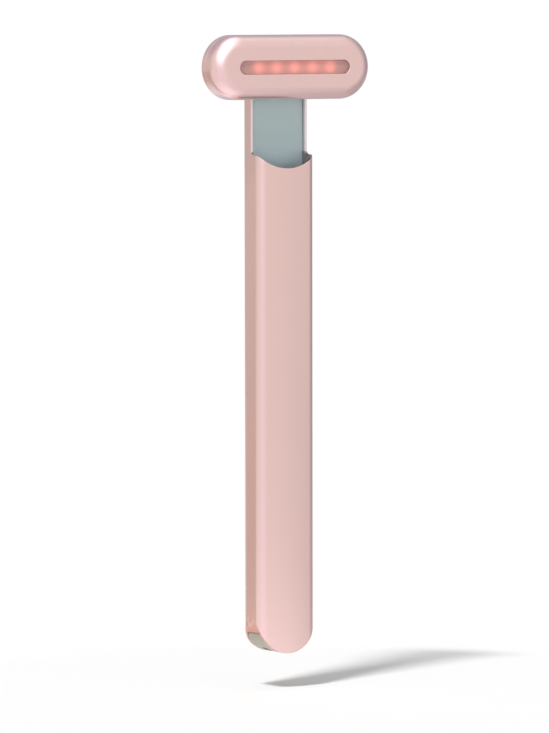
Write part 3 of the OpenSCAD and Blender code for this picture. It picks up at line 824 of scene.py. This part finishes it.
# %% Holes for the button and the charge light, and soft edges
button_gap, pipe_gap, drill_l = 0.2, 0.02, 3
button_drill_y, pipe_drill_x = 4.6, -9.5  # just inside the back wall, just left of the tube
soften(tube, width=0.14, angle=28, segments=3)
bake_modifiers(tube)


def drill(name, radius, axis, start, segments):
    profile = [(0, 0), (radius, 0), (radius, drill_l), (0, drill_l)]
    return lathe(name, profile, axis, start, segments)


button_drill = (0, button_drill_y, button_z)
pipe_drill = (pipe_drill_x, pipe_y, pipe_z)
button_hole = drill("button_hole", button_d / 2 + button_gap, (0, 1, 0), button_drill, 72)
pipe_hole = drill("pipe_hole", pipe_d / 2 + pipe_gap, (1, 0, 0), pipe_drill, 36)
cut(tube, button_hole, pipe_hole)
tidy_mesh(tube)
soften(tube, width=0.09, angle=62, segments=2)
even_normals(tube)
bake_modifiers(tube)
print("tube with holes", len(tube.data.vertices), "points")

# %% [markdown]
# ## The power button
# It lies almost flush in the back. A shallow dish guides the thumb, and the rim is soft.

# %% Button turned from its profile
button_r, button_edge, face_y = button_d / 2, 0.22, back_y - 0.1
dish_r, dish_deep, dish_steps = 2.4, 0.16, 8
flange_out, flange_low, flange_top, flange_nick = 3.8, 4.6, 4.98, 0.02
stem_r, stem_y = 1.1, 3.55
dish = [
    (dish_r * k / dish_steps, dish_deep * (1 - math.cos(math.radians(90 * k / dish_steps))))
    for k in range(dish_steps + 1)
]
button_profile = [
    *[(r, face_y - dish_deep + h) for r, h in dish],
    (button_r - button_edge, face_y),
    *arc(button_r - button_edge, face_y - button_edge, button_edge, 90, 0, 5)[1:],
    (button_r, flange_top), (flange_out - soft, flange_top), (flange_out, flange_top - soft),
    (flange_out, flange_low + flange_nick), (flange_out - soft, flange_low),
    (stem_r, flange_low), (stem_r, stem_y), (0, stem_y),
]
button = lathe("button", button_profile, (0, 1, 0), (0, 0, button_z), 72, button_pink)
even_normals(button)
print("button", len(button.data.vertices), "points")

# %% [markdown]
# ## Skins on their bodies
# A skin has to move with the CAD body that it belongs to, and the CAD node that it stands
# for is hidden. The modifiers become plain meshes first, because a riding piece has to be
# finished.

# %% Skins ride on their bodies and stand for their CAD nodes
for piece in (front_shell, back_shell, window):
    even_normals(piece)
    bake_modifiers(piece)
bake_modifiers(button)
for piece, body, node, slot in (
    (tube, "handle", "handle_shell", "pink_shell"),
    (front_shell, "head", "head_front_shell", "pink_head"),
    (back_shell, "head", "head_back_shell", "pink_head"),
    (window, "head", "light_window", "light_window"),
    (button, "button", "power_button", "button_pink"),
):
    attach(piece, body)
    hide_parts(node)
    print(piece.name, "stands for", node)

# %% [markdown]
# ## Inner pieces
# Boards, battery, motor and washers keep their CAD shape, because it is right, and only get
# a finish. They hardly show, but the part can be taken apart, so each has its real look:
# turned steel has grain round its axis, film is glossy, foam is dull. A table holds what
# differs.

# %% Finishes of the inner pieces
inner_finishes = {
    # slot: name, light and dark colour, roughness, and what else it needs
    "steel": (
        "steel", (205, 207, 211), (180, 183, 188), (0.22, 0.36),
        dict(metallic=1.0, scale=160, broad_scale=500, bump=0.001, stretch=(1, 1, 24)),
    ),
    "bush_brass": (
        "brass", (214, 184, 120), (190, 156, 90), (0.22, 0.34),
        dict(metallic=1.0, scale=200, broad_scale=420, bump=0.001, stretch=(1, 24, 1)),
    ),
    "washer_white": (
        "washer_white", (236, 236, 230), (224, 224, 216), (0.4, 0.5),
        dict(scale=2400, bump=0.003),
    ),
    "board_green": (
        "board_green", (38, 98, 62), (24, 74, 46), (0.25, 0.35),
        dict(scale=1800, broad_scale=900, bump=0.006, coat_weight=0.3),
    ),
    "chip_black": (
        "chip_black", (44, 44, 47), (32, 32, 34), (0.45, 0.6), dict(scale=5000, bump=0.004)
    ),
    "switch_red": (
        "switch_red", (206, 66, 54), (186, 52, 44), (0.35, 0.45), dict(bump=0.003)
    ),
    "film_amber": (
        "film_amber", (204, 134, 48), (176, 102, 30), (0.18, 0.28),
        dict(scale=1500, broad_scale=300, bump=0.002, coat_weight=0.3),
    ),
    "cell_foil": (
        "cell_foil", (200, 203, 208), (170, 174, 181), (0.26, 0.4),
        dict(metallic=0.9, scale=900, broad_scale=220, bump=0.012),
    ),
    "foam_grey": (
        "foam_grey", (72, 72, 76), (48, 48, 51), (0.8, 0.95),
        dict(scale=2600, broad_scale=1200, bump=0.05),
    ),
    "weight_tungsten": (
        "tungsten", (148, 144, 136), (124, 120, 113), (0.35, 0.5),
        dict(metallic=1.0, scale=4200, broad_scale=600, bump=0.006),
    ),
    "wire_jacket": (
        "wire_jacket", (58, 58, 62), (40, 40, 44), (0.4, 0.5), dict(scale=2200, bump=0.004)
    ),
    "pipe_clear": (
        "clear_pipe", (214, 168, 150), (204, 156, 139), (0.25, 0.35),
        dict(scale=2400, bump=0.001),
    ),
    "led_glow": (
        "led_finish", (255, 190, 176), (250, 150, 130), (0.2, 0.3),
        dict(emission_color=srgb(255, 96, 78), emission_strength=1.0),
    ),
}
finish_by_slot = {
    slot: finish_of(name, srgb(*light), srgb(*dark), rough, **more)
    for slot, (name, light, dark, rough, more) in inner_finishes.items()
}
finish_by_slot |= {
    "pink_shell": pink_tube, "pink_head": pink_head, "button_pink": button_pink,
    "carrier_teal": teal_plastic, "plug_grey": plug_plastic, "light_window": window_finish,
}
for entry in frame["record"]["subparts"]:
    mesh = nodes[entry["node"]].data
    mesh.materials.clear()
    mesh.materials.append(finish_by_slot[entry["material_slot"]])

# %% [markdown]
# ## Studio
# The photograph shows white all round and one soft shadow that runs off to the right. A
# broad sun from the upper left makes it, and a pale sky fills the rest. The floor is plain
# matt, but it fades to pure white a little way from the foot, so only the shadow shows.
# Reflections see soft patches on it, as cards laid round an object do in a studio.

# %% Soft patches as a shader group, for what the floor and the tent show in reflections
patch, p_in, p_out = new_group(
    "soft patch",
    [
        ("Vector", "Vector", None), ("Toward", "Vector", (0, 0, 1)),
        ("Full", "Float", 20.0), ("Fade", "Float", 40.0),
    ],
    [("Mask", "Float")],
)


def vector_node(tree, operation, *values):
    values = dict(enumerate(values))
    return add(tree, "ShaderNodeVectorMath", operation=operation, inputs=values).outputs


unit, aim = [
    vector_node(patch, "NORMALIZE", p_in[label])[0] for label in ("Vector", "Toward")
]
cosine = vector_node(patch, "DOT_PRODUCT", unit, aim)["Value"]
turned = math_node(patch, "DEGREES", math_node(patch, "ARCCOSINE", cosine))
feed(patch, p_out["Mask"], ranged(patch, turned, (p_in["Full"], p_in["Fade"]), (1.0, 0.0)))
print("group", patch.name)


# %% Who looks, and patches laid one over another
def seen_directly(tree):
    """1 for camera, glossy and transmission rays, 0 for the light that falls on things."""
    rays = add(tree, "ShaderNodeLightPath").outputs
    mirrored = math_node(tree, "MAXIMUM", rays["Is Glossy Ray"], rays["Is Transmission Ray"])
    return math_node(tree, "MAXIMUM", rays["Is Camera Ray"], mirrored)


def from_angles(azimuth, height):
    """The direction at an azimuth, from the front to the right, and a height, in degrees."""
    a, h = math.radians(azimuth), math.radians(height)
    return (math.sin(a) * math.cos(h), -math.cos(a) * math.cos(h), math.sin(h))


def patched(tree, where, ground, patches):
    """A colour that starts as the ground, with soft patches laid over it one by one."""
    colour = (*ground, 1)
    for azimuth, height, full, gone, shade in patches:
        toward = from_angles(azimuth, height)
        reach = {"Vector": where, "Toward": toward, "Full": full, "Fade": gone}
        here = add(tree, "ShaderNodeGroup", node_tree=patch, inputs=reach)
        colour = mixed(tree, here.outputs["Mask"], colour, (*shade, 1))
    return colour


def mixed_shaders(tree, factor, first, second):
    """The first shader where the factor is 0, the second where it is 1."""
    values = {0: factor, 1: first.outputs[0], 2: second.outputs[0]}
    return add(tree, "ShaderNodeMixShader", inputs=values)


print("helpers for the studio ready")

# %% Floor
floor_z, floor_size = -9.0 * mm, 60.0
shadow_near, shadow_far, shadow_kept = 0.090, 0.109, 0.04
bounce_near, bounce_far, bounce_strong = 0.03, 0.25, 1.45
floor_white = (0.95, 0.95, 0.95, 1)
floor_ground = (0.97, 0.98, 1.03)
floor_patches = [
    # azimuth, height, full to, gone by, colour
    (105, 0, 40, 80, (0.52, 0.50, 0.55)),
    (-147, 0, 6, 18, (0.53, 0.37, 0.27)),
    (-30, 0, 20, 60, (1.04, 1.02, 1.13)),
]
floor_mesh = bpy.data.meshes.new("floor")
corners = ((-1, -1), (1, -1), (1, 1), (-1, 1))
floor_mesh.from_pydata(
    [(sx * floor_size, sy * floor_size, floor_z) for sx, sy in corners], [], [(0, 1, 2, 3)]
)
floor = place("floor", floor_mesh)
floor_paint = bpy.data.materials.new("floor_paint")
tree = empty_tree(floor_paint)
where = add(tree, "ShaderNodeTexCoord").outputs["Object"]
away = vector_node(tree, "LENGTH", where)["Value"]
matt = add(tree, "ShaderNodeBsdfDiffuse", inputs={"Color": floor_white})
white = add(tree, "ShaderNodeEmission", inputs={"Strength": 1.0})
fade = ranged(tree, away, (shadow_near, shadow_far), (shadow_kept, 1.0))
how_white = math_node(tree, "MULTIPLY", fade, seen_directly(tree))
plain = mixed_shaders(tree, how_white, matt, white)
mirrored = add(
    tree, "ShaderNodeEmission",
    inputs={
        "Color": patched(tree, where, floor_ground, floor_patches),
        "Strength": ranged(tree, away, (bounce_near, bounce_far), (bounce_strong, 1.0)),
    },
)
glossy_ray = add(tree, "ShaderNodeLightPath").outputs["Is Glossy Ray"]
show(tree, mixed_shaders(tree, glossy_ray, plain, mirrored))
floor_mesh.materials.append(floor_paint)
print("floor at", floor_z, "m, patches", len(floor_patches))

# %% [markdown]
# The sky looks white to the camera and in reflections but lights the wand at less than
# half of that, so that the sun's side stays brighter than the other. The sun is broad,
# which softens the shadow's edge, and isn't mirrored, because the tent shows the lamps.

# %% Sky and sun
sky_level = 0.46
world = bpy.data.worlds.new("sky")
scene.world = world
tree = empty_tree(world)
level = math_node(tree, "MULTIPLY_ADD", seen_directly(tree), 1.0 - sky_level, sky_level)
sky = add(tree, "ShaderNodeBackground", inputs={"Color": (1, 1, 1, 1), "Strength": level})
show(tree, sky, "World")

key_from, key_strength, key_width = Vector((-0.465, -0.240, 0.853)), 2.15, 9
key = place("key", bpy.data.lights.new("key", "SUN"))
key.data.energy = key_strength
key.data.angle = math.radians(key_width)
key.rotation_mode = "QUATERNION"
key.rotation_quaternion = key_from.to_track_quat("Z", "Y")
key.visible_glossy = False
print("key from", [round(v, 2) for v in key_from.normalized()])

# %% [markdown]
# Metal shows what stands round it, so a white room alone would make the pink look flat. A
# light tent hangs round the wand as in a studio, with darker flags, a strip light and a
# bright top. Only reflections see it: it gives no light, casts no shadow and isn't in the
# picture.

# %% A tent that only reflections see
tent_r, tent_ground = 1.2, (0.93, 0.93, 0.93)
tent_patches = [
    # azimuth, height, full to, gone by, colour
    (172, 32, 24, 62, (0.44, 0.43, 0.50)),
    (112, 2, 34, 66, (0.41, 0.41, 0.47)),
    (-146, -4, 18, 44, (0.69, 0.67, 0.67)),
    (-28, 2, 5, 24, (0.98, 0.96, 1.22)),
    (0, 90, 6, 34, (1.90, 2.10, 2.40)),
    (-36, 50, 10, 46, (2.90, 3.10, 3.40)),
]
tent_mesh = bpy.data.meshes.new("tent")
bm = bmesh.new()
bmesh.ops.create_uvsphere(bm, u_segments=48, v_segments=24, radius=tent_r)
bm.to_mesh(tent_mesh)
bm.free()
tent = place("tent", tent_mesh)
cloth = bpy.data.materials.new("tent_cloth")
tree = empty_tree(cloth)
where = add(tree, "ShaderNodeTexCoord").outputs["Object"]
seen = {"Color": patched(tree, where, tent_ground, tent_patches), "Strength": 1.0}
show(tree, add(tree, "ShaderNodeEmission", inputs=seen))
tent_mesh.materials.append(cloth)
for kind in ("camera", "diffuse", "transmission", "shadow", "volume_scatter"):
    setattr(tent, "visible_" + kind, False)
print("tent patches", len(tent_patches))

# %% [markdown]
# ## Last steps
# The Standard view shows a colour as it is written, where a filmic one would dull the pink.

# %% Colours as written
scene.view_settings.view_transform = "Standard"
